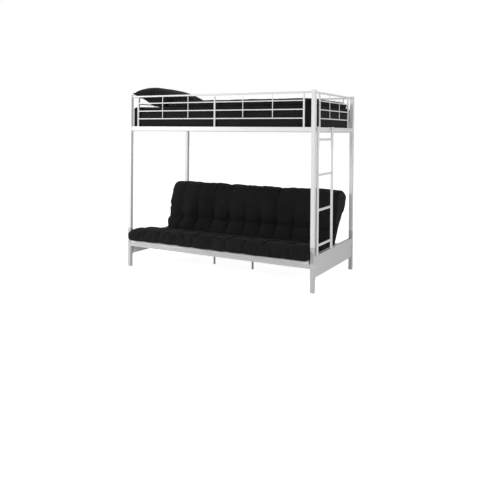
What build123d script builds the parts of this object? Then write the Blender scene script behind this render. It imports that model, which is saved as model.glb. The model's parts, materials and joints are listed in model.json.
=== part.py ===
"""Metal loft bed: a guarded upper bunk over a futon that slides out and folds flat.

Millimetres, +X along the bed towards the ladder, +Y to the back, +Z up. The origin lies on
the floor under the middle of the bed's overall box. The futon is shown as a sofa.
"""

import os
from math import cos, radians, sin, tan

from build123d import *

os.makedirs("parts", exist_ok=True)

# Overall frame
post_pitch_x = 1942
post_pitch_y = 950
post_size = 35
post_wall = 1.5
post_corner = 4
post_top = 1679
leg_top = 380
foot_thickness = 4
fit_gap = 0.2
soft_gap = 0.3
weld_plate = 4

# Post caps, feet and the spigot that joins a leg to its post
cap_thickness = 3
cap_plug_depth = 5
foot_plug_depth = 22
spigot_length = 55
spigot_shoulder = 3

# Upper bunk rails and slats
rail_top = 1374
rail_height = 40
rail_depth = 25
rail_wall = 1.5
rail_corner = 3
ledge_width = 20
ledge_sheet = 2
mattress_recess = 12
slat_count = 11
slat_pitch = 169.5
slat_width = 30
slat_height = 12
slat_wall = 1.2
slat_corner = 2
slat_end_play = 0.8
bolted_slat_step = 2

# Guards round the upper bunk
guard_tube_z = 1664
guard_tube_radius = 8
guard_tube_wall = 1.2
guard_rod_radius = 5
guard_picket_radius = 3.5
guard_rod_low_z = 1448
guard_rod_pitch = 74.5
guard_rod_count = 3
side_stile_gap = 73.5
side_bay_count = 3
end_stile_gap = 102.5
end_picket_y = 120

# Fasteners
bolt_radius = 4
bolt_head_radius = 8
bolt_head_height = 4
bolt_hole_gap = 0.3
bolt_grip_past_plate = 6
slat_bolt_radius = 3
slat_bolt_head_radius = 6.5
slat_bolt_head_height = 3
slat_plug = 14

# Ladder
ladder_radius = 11
ladder_wall = 1.5
ladder_set_in = 35
ladder_pitch_y = 325
rung_radius = 10
rung_low_z = 388
rung_pitch = 294
rung_count = 4
hook_sheet = 3
hook_width = 26
hook_drop = 28
ladder_foot_sheet = 3
ladder_foot_width = 30

# Pressed-steel end panels with their slotted guide plates
panel_bottom = 125
panel_top = 305
panel_depth = 34.5
panel_sheet = 2
panel_setback = 1
panel_band_height = 34
panel_recess = 3
panel_lip = 15
guide_sheet = 3
guide_front_margin = 5
guide_past_hinge = 30

# Fixed lower rails and the centre rail on its two legs
low_rail_top = 236.2
low_rail_height = 36
centre_rail_step = 103
centre_rail_bottom = 130
centre_rail_size = 25
centre_rail_end_gap = 60
centre_bracket_sheet = 2.8
centre_bracket_height = 18
centre_bracket_width = 40
centre_leg_left_x = -300
centre_leg_right_x = 138
centre_leg_radius = 9.5
centre_leg_wall = 1.5
centre_foot_thickness = 4
centre_foot_radius = 11

# Futon deck
deck_tube_height = 28
deck_tube_width = 22
deck_tube_wall = 1.5
deck_tube_corner = 3
deck_running_gap = 0.3
seat_front_reach = 19
seat_back_tube_step = 40
hinge_step = 360
hinge_reach = 14
cross_tube_count = 5
cross_tube_pitch = 350
cross_tube_width = 20
mesh_thickness = 3.5
mesh_wire = 4
mesh_row_pitch = 62
mesh_column_pitch = 140
back_side_gap = 1.5
back_length = 460
back_bottom_along = 31
back_angle = 66

# Sliding and folding gear
slide_travel = 260
glide_front_step = 285
glide_back_step = 145
glide_length = 20
glide_height = 12
glide_radius = 3
glide_play = 0.3
glide_stud_radius = 4
glide_head_radius = 9
glide_head_sheet = 2.5
plate_side_gap = 2
lever_length = 95
lever_start_angle = 84
lever_radius = 12
lever_sheet = 3
lever_gap = 0.5
lever_side_gap = 3
cam_pin_radius = 6
cam_head_radius = 9
cam_slot_play = 1.2
shaft_radius = 6
shaft_play = 0.06
shaft_weld_gap = 0.05

# Bedding
mattress_end_gap = 5.5
mattress_side_gap = 7.5
mattress_height = 200
mattress_corner = 30
mattress_edge = 24
duvet_height = 57
duvet_edge = 22
duvet_inset = 4
duvet_pillow_gap = 8
pillow_length = 750
pillow_width = 440
pillow_height = 150
pillow_corner = 100
pillow_lean = 17
pillow_centre_y = -5
pillow_face_share = 0.5

# Futon mattress: the seat's heights are above the deck, its steps run from the front edge or
# the hinge; the back's places run along it from the hinge or its top tube, and out from its middle
futon_side_overhang = 1.5
futon_front_overhang = 61
futon_nose_height = 46
futon_heel_step = 27
futon_shoulder_step = 50
futon_shoulder_height = 85
futon_crown_step = 225
futon_crown_height = 87
futon_tuft_step = 251
futon_tuft_height = 37
futon_rear_crown_step = 155
futon_rear_crown_height = 65
futon_crotch_height = 66
futon_end_length = 18
futon_end_draw = 14
tuft_column_count = 9
tuft_column_pitch = 188
tuft_groove_width = 40
seat_groove_height = 67
back_groove_out = 88
back_foot_crown_along = 112
back_foot_crown_out = 92
back_tuft_along = 180
back_tuft_out = 63
back_crown_below_top = 115
back_crown_out = 119
back_shoulder_rise = 45
back_shoulder_out = 108
back_top_rise = 108
back_top_out = 5
back_end_rise = 95
back_end_out = -90
back_flap_drop = 27
back_flap_out = -70
back_flap_tip_drop = 98
back_flap_tip_out = -30
back_flap_side_gap = 3.3
back_flap_top_gap = 6

# Places that follow from the sizes above
half_pitch_x = post_pitch_x / 2
half_pitch_y = post_pitch_y / 2
half_post = post_size / 2
ladder_x = half_pitch_x + rail_depth / 2 + ladder_radius
ladder_front_y = ladder_set_in - half_pitch_y
seat_front_y = -half_pitch_y - seat_front_reach
futon_front_y = seat_front_y - futon_front_overhang
reach_left = half_pitch_x + half_post + bolt_head_height
reach_right = ladder_x + ladder_radius
reach_back = half_pitch_y + half_post
centre_x = (reach_left - reach_right) / 2
centre_y = (-futon_front_y - reach_back) / 2
post_inner_x = half_pitch_x - half_post
post_inner_y = half_pitch_y - half_post
side_stile_x = post_inner_x - side_stile_gap
side_picket_pitch = side_stile_x / side_bay_count
end_stile_y = post_inner_y - end_stile_gap
rail_z = rail_top - rail_height / 2
slat_top = rail_top - mattress_recess
slat_bottom = slat_top - slat_height
panel_face_x = half_pitch_x + half_post - panel_setback
panel_inner_x = panel_face_x - panel_depth
guide_inner_x = panel_inner_x - guide_sheet
hinge_y = half_pitch_y - hinge_step
seat_back_tube_y = hinge_y - seat_back_tube_step
glide_front_y = hinge_y - glide_front_step
glide_back_y = hinge_y - glide_back_step
guide_back_y = hinge_y + guide_past_hinge
centre_rail_y = hinge_y - centre_rail_step
centre_rail_half = guide_inner_x - centre_rail_end_gap
low_rail_z = low_rail_top - low_rail_height / 2
low_rail_y = half_pitch_y + half_post - rail_depth / 2
deck_bottom = low_rail_top + deck_running_gap
hinge_z = deck_bottom + deck_tube_height / 2
deck_top = deck_bottom + deck_tube_height
seat_half_length = guide_inner_x - lever_side_gap - lever_sheet - lever_gap
seat_inner_x = seat_half_length - deck_tube_width
back_half_length = seat_inner_x - back_side_gap
back_inner_x = back_half_length - deck_tube_width
lever_inner_x = seat_half_length + lever_gap
lever_outer_x = lever_inner_x + lever_sheet
pin_head_x = panel_inner_x + plate_side_gap

sides_x = {"left": -1, "right": 1}
sides_y = {"front": -1, "back": 1}


def at(x, y, z):
    """A point given from the middle of the four posts."""
    return Vector(centre_x + x, centre_y + y, z)


def finish(builder, node):
    """Label a finished sub-part and write it."""
    builder.part.label = node
    export_step(builder.part, "parts/" + node + ".step")


def box_tube(start, direction, side, length, width, height, wall, corner):
    """A square or oblong tube in the current part; side is the direction of its width."""
    with BuildSketch(Plane(origin=start, x_dir=side, z_dir=direction)) as profile:
        RectangleRounded(width, height, corner)
        RectangleRounded(
            width - 2 * wall, height - 2 * wall, max(corner - wall, wall / 2), mode=Mode.SUBTRACT
        )
    extrude(profile.sketch, amount=length)


def solid_bar(start, direction, side, length, width, height, mode=Mode.ADD):
    """A square-edged bar in the current part."""
    with BuildSketch(Plane(origin=start, x_dir=side, z_dir=direction)) as profile:
        Rectangle(width, height)
    extrude(profile.sketch, amount=length, mode=mode)


def round_bar(start, direction, length, radius, mode=Mode.ADD):
    """A round bar, or a bore, in the current part."""
    with BuildSketch(Plane(origin=start, z_dir=direction)) as profile:
        Circle(radius)
    extrude(profile.sketch, amount=length, mode=mode)


# Posts: square tubes that stand on the legs, drilled for the rail and guard bolts
post_bore = bolt_radius + bolt_hole_gap
for y_name, y_side in sides_y.items():
    for x_name, x_side in sides_x.items():
        foot_of_post = at(x_side * half_pitch_x, y_side * half_pitch_y, leg_top)
        with BuildPart() as post:
            box_tube(
                foot_of_post, (0, 0, 1), (1, 0, 0), post_top - leg_top,
                post_size, post_size, post_wall, post_corner,
            )
            for bolt_z in (rail_z, guard_tube_z):
                bore_start = at(x_side * half_pitch_x - half_post, y_side * half_pitch_y, bolt_z)
                round_bar(bore_start, (1, 0, 0), post_size, post_bore, Mode.SUBTRACT)
        finish(post, "post_" + y_name + "_" + x_name)

# Legs: a tube below, a shoulder plate, and a spigot that enters the post
spigot_size = post_size - 2 * post_wall - 2 * fit_gap
for y_name, y_side in sides_y.items():
    for x_name, x_side in sides_x.items():
        leg_x, leg_y = x_side * half_pitch_x, y_side * half_pitch_y
        with BuildPart() as leg:
            box_tube(
                at(leg_x, leg_y, foot_thickness), (0, 0, 1), (1, 0, 0), leg_top - foot_thickness,
                post_size, post_size, post_wall, post_corner,
            )
            with BuildSketch(Plane(at(leg_x, leg_y, leg_top - spigot_shoulder))):
                RectangleRounded(post_size, post_size, post_corner)
            extrude(amount=spigot_shoulder)
            box_tube(
                at(leg_x, leg_y, leg_top), (0, 0, 1), (1, 0, 0), spigot_length,
                spigot_size, spigot_size, post_wall, post_corner - post_wall,
            )
            bore_start = at(leg_x - half_post, y_side * low_rail_y, low_rail_z)
            round_bar(bore_start, (1, 0, 0), post_size, post_bore, Mode.SUBTRACT)
        finish(leg, "leg_" + y_name + "_" + x_name)

# Plastic caps on the posts
cap_plug_size = post_size - 2 * post_wall - 2 * fit_gap
with BuildPart() as post_caps:
    with BuildSketch(Plane(at(0, 0, post_top))):
        with GridLocations(post_pitch_x, post_pitch_y, 2, 2):
            RectangleRounded(post_size, post_size, post_corner)
    extrude(amount=cap_thickness, taper=20)
    with BuildSketch(Plane(at(0, 0, post_top - cap_plug_depth))):
        with GridLocations(post_pitch_x, post_pitch_y, 2, 2):
            RectangleRounded(cap_plug_size, cap_plug_size, post_corner - post_wall)
    extrude(amount=cap_plug_depth)
finish(post_caps, "post_caps")

# Feet: plastic plugs in the four corner legs and cups under the two centre legs
with BuildPart() as feet:
    with BuildSketch(Plane(at(0, 0, 0))):
        with GridLocations(post_pitch_x, post_pitch_y, 2, 2):
            RectangleRounded(post_size, post_size, post_corner)
    extrude(amount=foot_thickness)
    with BuildSketch(Plane(at(0, 0, foot_thickness))):
        with GridLocations(post_pitch_x, post_pitch_y, 2, 2):
            RectangleRounded(cap_plug_size, cap_plug_size, post_corner - post_wall)
    extrude(amount=foot_plug_depth)
    for leg_x in (centre_leg_left_x, centre_leg_right_x):
        round_bar(at(leg_x, centre_rail_y, 0), (0, 0, 1), centre_foot_thickness, centre_foot_radius)
finish(feet, "feet")

# Upper side rails, each with end plates for its bolts and the ledge that carries the slats
for y_name, y_side in sides_y.items():
    rail_y = y_side * half_pitch_y
    rail_length = 2 * post_inner_x
    with BuildPart() as side_rail:
        box_tube(
            at(-post_inner_x, rail_y, rail_z), (1, 0, 0), (0, 1, 0), rail_length,
            rail_depth, rail_height, rail_wall, rail_corner,
        )
        for x_side in sides_x.values():
            plate_start = min(x_side * post_inner_x, x_side * post_inner_x - x_side * weld_plate)
            solid_bar(
                at(plate_start, rail_y, rail_z), (1, 0, 0), (0, 1, 0), weld_plate,
                rail_depth - 2 * rail_wall + fit_gap, rail_height - 2 * rail_wall + fit_gap,
            )
            round_bar(at(plate_start, rail_y, rail_z), (1, 0, 0), weld_plate, post_bore, Mode.SUBTRACT)
        ledge_face_y = rail_y - y_side * rail_depth / 2
        upright_z = slat_bottom - ledge_width / 2
        solid_bar(
            at(-post_inner_x, ledge_face_y - y_side * ledge_sheet / 2, upright_z),
            (1, 0, 0), (0, 1, 0), rail_length, ledge_sheet, ledge_width,
        )
        solid_bar(
            at(-post_inner_x, ledge_face_y - y_side * ledge_width / 2, slat_bottom - ledge_sheet / 2),
            (1, 0, 0), (0, 1, 0), rail_length, ledge_width, ledge_sheet,
        )
        for slat_side in (-1, 1):
            bolt_x = slat_side * bolted_slat_step * slat_pitch
            bore_start = at(bolt_x, y_side * (half_pitch_y + rail_depth), slat_top - slat_height / 2)
            round_bar(
                bore_start, (0, -y_side, 0), 2 * rail_depth,
                slat_bolt_radius + bolt_hole_gap, Mode.SUBTRACT,
            )
    finish(side_rail, "upper_rail_" + y_name)

# Upper end rails, welded between the posts of each end
for x_name, x_side in sides_x.items():
    with BuildPart() as end_rail:
        box_tube(
            at(x_side * half_pitch_x, -post_inner_y, rail_z), (0, 1, 0), (1, 0, 0),
            2 * post_inner_y, rail_depth, rail_height, rail_wall, rail_corner,
        )
    finish(end_rail, "upper_rail_" + x_name)

# Slats: flat tubes on the ledges; two of them have end plugs and are bolted through the rails
slat_half = half_pitch_y - rail_depth / 2 - ledge_sheet - slat_end_play
slat_steps = range(-(slat_count // 2), slat_count // 2 + 1)
slat_axis_z = slat_top - slat_height / 2
with BuildPart() as slats:
    for step in slat_steps:
        if abs(step) != bolted_slat_step:
            box_tube(
                at(step * slat_pitch, -slat_half, slat_axis_z), (0, 1, 0), (1, 0, 0),
                2 * slat_half, slat_width, slat_height, slat_wall, slat_corner,
            )
finish(slats, "slats")

bolted_half = slat_half + slat_end_play
with BuildPart() as bolted_slats:
    for step in (-bolted_slat_step, bolted_slat_step):
        box_tube(
            at(step * slat_pitch, -bolted_half, slat_axis_z), (0, 1, 0), (1, 0, 0),
            2 * bolted_half, slat_width, slat_height, slat_wall, slat_corner,
        )
        for y_side in sides_y.values():
            plug_start = at(step * slat_pitch, y_side * bolted_half, slat_axis_z)
            solid_bar(
                plug_start, (0, -y_side, 0), (1, 0, 0), slat_plug,
                slat_width - 2 * slat_wall + fit_gap, slat_height - 2 * slat_wall + fit_gap,
            )
            round_bar(
                plug_start, (0, -y_side, 0), slat_plug,
                slat_bolt_radius + bolt_hole_gap, Mode.SUBTRACT,
            )
finish(bolted_slats, "bolted_slats")


def make_guard(name, middle, along, half_span, stiles, pickets, bolted):
    """One guard: its top tube, its stiles, and the welded grille of rods and pickets."""
    along = Vector(*along)

    def on_guard(shift, z):
        return middle + along * shift + Vector(0, 0, z)

    with BuildPart() as top_tube:
        round_bar(on_guard(-half_span, guard_tube_z), along, 2 * half_span, guard_tube_radius)
        inner_half = half_span - weld_plate if bolted else half_span
        round_bar(
            on_guard(-inner_half, guard_tube_z), along, 2 * inner_half,
            guard_tube_radius - guard_tube_wall, Mode.SUBTRACT,
        )
        if bolted:
            round_bar(on_guard(-half_span, guard_tube_z), along, 2 * half_span, post_bore, Mode.SUBTRACT)
    finish(top_tube, "guard_top_" + name)

    with BuildPart() as stile_set:
        for shift in stiles:
            round_bar(on_guard(shift, rail_top), (0, 0, 1), guard_tube_z - rail_top, guard_tube_radius)
        round_bar(
            on_guard(-half_span, guard_tube_z), along, 2 * half_span, guard_tube_radius, Mode.SUBTRACT
        )
    finish(stile_set, "guard_stiles_" + name)

    with BuildPart() as grille:
        for level in range(guard_rod_count):
            rod_start = on_guard(stiles[0], guard_rod_low_z + level * guard_rod_pitch)
            round_bar(rod_start, along, stiles[-1] - stiles[0], guard_rod_radius)
        for shift in pickets:
            round_bar(
                on_guard(shift, guard_rod_low_z), (0, 0, 1),
                guard_tube_z - guard_rod_low_z, guard_picket_radius,
            )
        for shift in stiles:
            round_bar(
                on_guard(shift, rail_top), (0, 0, 1), guard_tube_z - rail_top,
                guard_tube_radius, Mode.SUBTRACT,
            )
        round_bar(
            on_guard(-half_span, guard_tube_z), along, 2 * half_span, guard_tube_radius, Mode.SUBTRACT
        )
    finish(grille, "guard_grille_" + name)


side_pickets = [
    step * side_picket_pitch for step in range(-side_bay_count, side_bay_count + 1)
    if step % side_bay_count
]
for y_name, y_side in sides_y.items():
    make_guard(
        y_name, at(0, y_side * half_pitch_y, 0), (1, 0, 0), post_inner_x,
        (-side_stile_x, 0, side_stile_x), side_pickets, True,
    )
for x_name, x_side in sides_x.items():
    make_guard(
        x_name, at(x_side * half_pitch_x, 0, 0), (0, 1, 0), post_inner_y,
        (-end_stile_y, end_stile_y), (-end_picket_y, end_picket_y), False,
    )

# Bolts: long ones hold the rails and guards to the posts, short ones the two bolted slats
bolt_length = post_size + weld_plate + bolt_grip_past_plate
slat_bolt_length = rail_depth + slat_plug
with BuildPart() as frame_bolts:
    for x_side in sides_x.values():
        for y_side in sides_y.values():
            face_x = x_side * (half_pitch_x + half_post)
            seats = (
                at(face_x, y_side * half_pitch_y, guard_tube_z),
                at(face_x, y_side * half_pitch_y, rail_z),
                at(face_x, y_side * low_rail_y, low_rail_z),
            )
            for seat in seats:
                round_bar(seat, (x_side, 0, 0), bolt_head_height, bolt_head_radius)
                round_bar(seat, (-x_side, 0, 0), bolt_length, bolt_radius)
    for slat_side in (-1, 1):
        for y_side in sides_y.values():
            bolt_x = slat_side * bolted_slat_step * slat_pitch
            seat = at(bolt_x, y_side * (half_pitch_y + rail_depth / 2), slat_axis_z)
            round_bar(seat, (0, y_side, 0), slat_bolt_head_height, slat_bolt_head_radius)
            round_bar(seat, (0, -y_side, 0), slat_bolt_length, slat_bolt_radius)
finish(frame_bolts, "frame_bolts")

# Ladder stiles, each with the hook welded to its top that hangs over the end rail
ladder_foot_top = panel_top + ladder_foot_sheet
for stile_name, stile_y in (("front", ladder_front_y), ("back", ladder_front_y + ladder_pitch_y)):
    with BuildPart() as ladder_stile:
        round_bar(at(ladder_x, stile_y, ladder_foot_top), (0, 0, 1), rail_top - ladder_foot_top, ladder_radius)
        round_bar(
            at(ladder_x, stile_y, ladder_foot_top), (0, 0, 1), rail_top - ladder_foot_top,
            ladder_radius - ladder_wall, Mode.SUBTRACT,
        )
        hook_inner_x = half_pitch_x - rail_depth / 2 - hook_sheet
        solid_bar(
            at(hook_inner_x, stile_y, rail_top + hook_sheet / 2), (1, 0, 0), (0, 1, 0),
            ladder_x + ladder_radius - hook_inner_x, hook_width, hook_sheet,
        )
        solid_bar(
            at(hook_inner_x + hook_sheet / 2, stile_y, rail_top), (0, 0, -1), (1, 0, 0),
            hook_drop, hook_sheet, hook_width,
        )
    finish(ladder_stile, "ladder_stile_" + stile_name)

# Ladder rungs, coped to the stiles
with BuildPart() as ladder_rungs:
    for level in range(rung_count):
        rung_start = at(ladder_x, ladder_front_y, rung_low_z + level * rung_pitch)
        round_bar(rung_start, (0, 1, 0), ladder_pitch_y, rung_radius)
    for stile_y in (ladder_front_y, ladder_front_y + ladder_pitch_y):
        round_bar(
            at(ladder_x, stile_y, ladder_foot_top), (0, 0, 1), rail_top - ladder_foot_top,
            ladder_radius, Mode.SUBTRACT,
        )
finish(ladder_rungs, "ladder_rungs")

# Ladder feet: steel tabs on the panel's top flange, one under each stile
with BuildPart() as ladder_feet:
    foot_reach = ladder_x + ladder_radius - panel_inner_x
    for stile_y in (ladder_front_y, ladder_front_y + ladder_pitch_y):
        solid_bar(
            at(panel_inner_x, stile_y, panel_top + ladder_foot_sheet / 2), (1, 0, 0), (0, 1, 0),
            foot_reach, ladder_foot_width, ladder_foot_sheet,
        )
finish(ladder_feet, "ladder_feet")

# End panels: pressed sheet with a raised top band, folded flanges and lips, and end flanges
for x_name, x_side in sides_x.items():
    face_x = x_side * (panel_face_x - panel_sheet / 2)
    recess_x = face_x - x_side * panel_recess
    lip_x = x_side * (panel_inner_x + panel_sheet / 2)
    top_z = panel_top - panel_sheet / 2
    bottom_z = panel_bottom + panel_sheet / 2
    band_z = panel_top - panel_band_height
    panel_route = [
        (lip_x, top_z - panel_lip), (lip_x, top_z), (face_x, top_z), (face_x, band_z),
        (recess_x, band_z), (recess_x, bottom_z), (lip_x, bottom_z), (lip_x, bottom_z + panel_lip),
    ]
    panel_start = Plane(origin=at(0, -post_inner_y, 0), x_dir=(1, 0, 0), z_dir=(0, -1, 0))
    with BuildPart() as end_panel:
        with BuildSketch(panel_start):
            with BuildLine():
                Polyline(*panel_route)
            trace(line_width=panel_sheet)
        extrude(amount=-2 * post_inner_y)
        flange_x = (recess_x + lip_x) / 2
        flange_height = panel_top - panel_bottom - panel_sheet
        for y_side in sides_y.values():
            solid_bar(
                at(flange_x, y_side * post_inner_y, (panel_top + panel_bottom) / 2),
                (0, -y_side, 0), (1, 0, 0), panel_sheet, abs(recess_x - lip_x), flange_height,
            )
    finish(end_panel, "end_panel_" + x_name)

# Guide plates: a straight slot for the seat's glides and a curved one for the back's cam pin.
# The curved slot follows the pin as the slide and the fold run together.


def cam_pin_place(travel):
    """The cam pin's Y and Z at a given slide travel."""
    angle = radians(lever_start_angle - back_angle * travel / slide_travel)
    return hinge_y - travel - lever_length * cos(angle), hinge_z - lever_length * sin(angle)


cam_route = [cam_pin_place(travel) for travel in (0, slide_travel / 2, slide_travel)]
cam_arc = ThreePointArc(*cam_route)
guide_front_y = -post_inner_y + guide_front_margin
glide_slot_front = glide_front_y - slide_travel - glide_length / 2 - glide_play
glide_slot_back = glide_back_y + glide_length / 2 + glide_play
glide_slot_height = glide_height + 2 * glide_play
guide_bottom = panel_bottom + panel_sheet
guide_top = panel_top - panel_sheet
for x_name, x_side in sides_x.items():
    inner_face = min(x_side * guide_inner_x, x_side * panel_inner_x)
    guide_plane = Plane(origin=at(inner_face, 0, 0), x_dir=(0, 1, 0), z_dir=(1, 0, 0))
    with BuildPart() as guide_plate:
        with BuildSketch(guide_plane):
            with Locations(((guide_front_y + guide_back_y) / 2, (guide_bottom + guide_top) / 2)):
                Rectangle(guide_back_y - guide_front_y, guide_top - guide_bottom)
            with Locations(((glide_slot_front + glide_slot_back) / 2, hinge_z)):
                Rectangle(glide_slot_back - glide_slot_front, glide_slot_height, mode=Mode.SUBTRACT)
            SlotArc(cam_arc, 2 * (cam_pin_radius + cam_slot_play), mode=Mode.SUBTRACT)
        extrude(amount=guide_sheet)
    finish(guide_plate, "guide_plate_" + x_name)

# Fixed lower rails, bolted between the legs at the front and the back
for y_name, y_side in sides_y.items():
    with BuildPart() as low_rail:
        box_tube(
            at(-post_inner_x, y_side * low_rail_y, low_rail_z), (1, 0, 0), (0, 1, 0),
            2 * post_inner_x, rail_depth, low_rail_height, rail_wall, rail_corner,
        )
        for x_side in sides_x.values():
            plate_start = min(x_side * post_inner_x, x_side * post_inner_x - x_side * weld_plate)
            plate_origin = at(plate_start, y_side * low_rail_y, low_rail_z)
            solid_bar(
                plate_origin, (1, 0, 0), (0, 1, 0), weld_plate,
                rail_depth - 2 * rail_wall + fit_gap, low_rail_height - 2 * rail_wall + fit_gap,
            )
            round_bar(plate_origin, (1, 0, 0), weld_plate, post_bore, Mode.SUBTRACT)
    finish(low_rail, "lower_rail_" + y_name)

# Centre rail with an angle bracket at each end, welded to the guide plates
with BuildPart() as centre_rail:
    box_tube(
        at(-centre_rail_half, centre_rail_y, centre_rail_bottom + centre_rail_size / 2),
        (1, 0, 0), (0, 1, 0), 2 * centre_rail_half,
        centre_rail_size, centre_rail_size, rail_wall, rail_corner,
    )
    bracket_low = centre_rail_bottom - centre_bracket_sheet
    for x_side in sides_x.values():
        strap_start = at(x_side * guide_inner_x, centre_rail_y, centre_rail_bottom - centre_bracket_sheet / 2)
        strap_length = guide_inner_x - centre_rail_half + centre_bracket_width
        solid_bar(
            strap_start, (-x_side, 0, 0), (0, 1, 0), strap_length,
            centre_bracket_width, centre_bracket_sheet,
        )
        ear_start = at(x_side * guide_inner_x, centre_rail_y, bracket_low + centre_bracket_height / 2)
        solid_bar(
            ear_start, (-x_side, 0, 0), (0, 1, 0), centre_bracket_sheet,
            centre_bracket_width, centre_bracket_height,
        )
finish(centre_rail, "centre_rail")

# Two round centre legs under the centre rail
with BuildPart() as centre_legs:
    for leg_x in (centre_leg_left_x, centre_leg_right_x):
        leg_start = at(leg_x, centre_rail_y, centre_foot_thickness)
        leg_length = centre_rail_bottom - centre_foot_thickness
        round_bar(leg_start, (0, 0, 1), leg_length, centre_leg_radius)
        round_bar(leg_start, (0, 0, 1), leg_length, centre_leg_radius - centre_leg_wall, Mode.SUBTRACT)
finish(centre_legs, "centre_legs")

# Seat frame
seat_tube_start = seat_front_y + deck_tube_width
with BuildPart() as seat_front_tube:
    box_tube(
        at(-seat_half_length, seat_front_y + deck_tube_width / 2, hinge_z), (1, 0, 0), (0, 1, 0),
        2 * seat_half_length, deck_tube_width, deck_tube_height, deck_tube_wall, deck_tube_corner,
    )
finish(seat_front_tube, "seat_front_tube")

with BuildPart() as seat_back_tube:
    box_tube(
        at(-seat_inner_x, seat_back_tube_y, hinge_z), (1, 0, 0), (0, 1, 0),
        2 * seat_inner_x, deck_tube_width, deck_tube_height, deck_tube_wall, deck_tube_corner,
    )
finish(seat_back_tube, "seat_back_tube")

# The seat's side tubes run back to the hinge, where each end is a closed round boss
with BuildPart() as seat_side_tubes:
    for x_side in sides_x.values():
        tube_x = x_side * (seat_half_length - deck_tube_width / 2)
        box_tube(
            at(tube_x, seat_tube_start, hinge_z), (0, 1, 0), (1, 0, 0),
            hinge_y - seat_tube_start, deck_tube_width, deck_tube_height,
            deck_tube_wall, deck_tube_corner,
        )
        boss_start = at(tube_x - deck_tube_width / 2, hinge_y, hinge_z)
        round_bar(boss_start, (1, 0, 0), deck_tube_width, hinge_reach)
        round_bar(boss_start, (1, 0, 0), deck_tube_width, shaft_radius + shaft_play, Mode.SUBTRACT)
finish(seat_side_tubes, "seat_side_tubes")

seat_mesh_back = seat_back_tube_y - deck_tube_width / 2
cross_steps = [step - (cross_tube_count - 1) / 2 for step in range(cross_tube_count)]
cross_height = deck_tube_height - mesh_thickness
with BuildPart() as seat_cross_tubes:
    for step in cross_steps:
        box_tube(
            at(step * cross_tube_pitch, seat_tube_start, hinge_z - mesh_thickness / 2), (0, 1, 0),
            (1, 0, 0), seat_mesh_back - seat_tube_start, cross_tube_width, cross_height,
            deck_tube_wall, deck_tube_corner,
        )
finish(seat_cross_tubes, "seat_cross_tubes")


def wire_mesh(length, depth):
    """Sketch a flat welded mesh of the given extent about the sketch's origin."""
    rows = int(depth / mesh_row_pitch)
    columns = int(length / mesh_column_pitch)
    with GridLocations(0, depth / (rows + 1), 1, rows):
        Rectangle(length, mesh_wire)
    with GridLocations(length / (columns + 1), 0, columns, 1):
        Rectangle(mesh_wire, depth)


with BuildPart() as seat_mesh:
    mesh_middle = at(0, (seat_tube_start + seat_mesh_back) / 2, deck_top - mesh_thickness)
    with BuildSketch(Plane(mesh_middle)):
        wire_mesh(2 * seat_inner_x, seat_mesh_back - seat_tube_start)
    extrude(amount=mesh_thickness)
finish(seat_mesh, "seat_mesh")

# Glides: nylon blocks on headed studs, two on each side, that run in the straight slots
with BuildPart() as seat_glides:
    for x_side in sides_x.values():
        for glide_y in (glide_front_y, glide_back_y):
            stud_start = at(x_side * seat_half_length, glide_y, hinge_z)
            head_x = x_side * pin_head_x
            round_bar(stud_start, (x_side, 0, 0), pin_head_x - seat_half_length, glide_stud_radius)
            round_bar(at(head_x, glide_y, hinge_z), (x_side, 0, 0), glide_head_sheet, glide_head_radius)
            block_x = guide_inner_x - plate_side_gap
            block_plane = Plane(
                origin=at(x_side * block_x, glide_y, hinge_z), x_dir=(0, 1, 0), z_dir=(x_side, 0, 0)
            )
            with BuildSketch(block_plane):
                RectangleRounded(glide_length, glide_height, glide_radius)
            extrude(amount=pin_head_x - block_x)
finish(seat_glides, "seat_glides")

# Back frame, drawn in its own plane: X along the bed, Y up the back, Z towards the sitter
back_up = Vector(0, cos(radians(back_angle)), sin(radians(back_angle)))
back_out = Vector(0, -sin(radians(back_angle)), cos(radians(back_angle)))
hinge_point = at(0, hinge_y, hinge_z)


def on_back(x, along, out):
    """A point of the back, given along it from the hinge and out from its middle plane."""
    return hinge_point + Vector(x, 0, 0) + back_up * along + back_out * out


back_top_along = back_length - deck_tube_width / 2
with BuildPart() as back_top_tube:
    box_tube(
        on_back(-back_half_length, back_top_along, 0), (1, 0, 0), back_up,
        2 * back_half_length, deck_tube_width, deck_tube_height, deck_tube_wall, deck_tube_corner,
    )
finish(back_top_tube, "back_top_tube")

with BuildPart() as back_bottom_tube:
    box_tube(
        on_back(-back_inner_x, back_bottom_along, 0), (1, 0, 0), back_up,
        2 * back_inner_x, deck_tube_width, deck_tube_height, deck_tube_wall, deck_tube_corner,
    )
finish(back_bottom_tube, "back_bottom_tube")

back_side_end = back_length - deck_tube_width
with BuildPart() as back_side_tubes:
    for x_side in sides_x.values():
        tube_x = x_side * (back_half_length - deck_tube_width / 2)
        box_tube(
            on_back(tube_x, 0, 0), back_up, (1, 0, 0), back_side_end,
            deck_tube_width, deck_tube_height, deck_tube_wall, deck_tube_corner,
        )
        boss_start = on_back(tube_x - deck_tube_width / 2, 0, 0)
        round_bar(boss_start, (1, 0, 0), deck_tube_width, hinge_reach)
        round_bar(boss_start, (1, 0, 0), deck_tube_width, shaft_radius + shaft_weld_gap, Mode.SUBTRACT)
finish(back_side_tubes, "back_side_tubes")

back_mesh_low = back_bottom_along + deck_tube_width / 2
with BuildPart() as back_cross_tubes:
    for step in cross_steps:
        box_tube(
            on_back(step * cross_tube_pitch, back_mesh_low, -mesh_thickness / 2), back_up,
            (1, 0, 0), back_side_end - back_mesh_low, cross_tube_width, cross_height,
            deck_tube_wall, deck_tube_corner,
        )
finish(back_cross_tubes, "back_cross_tubes")

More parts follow.
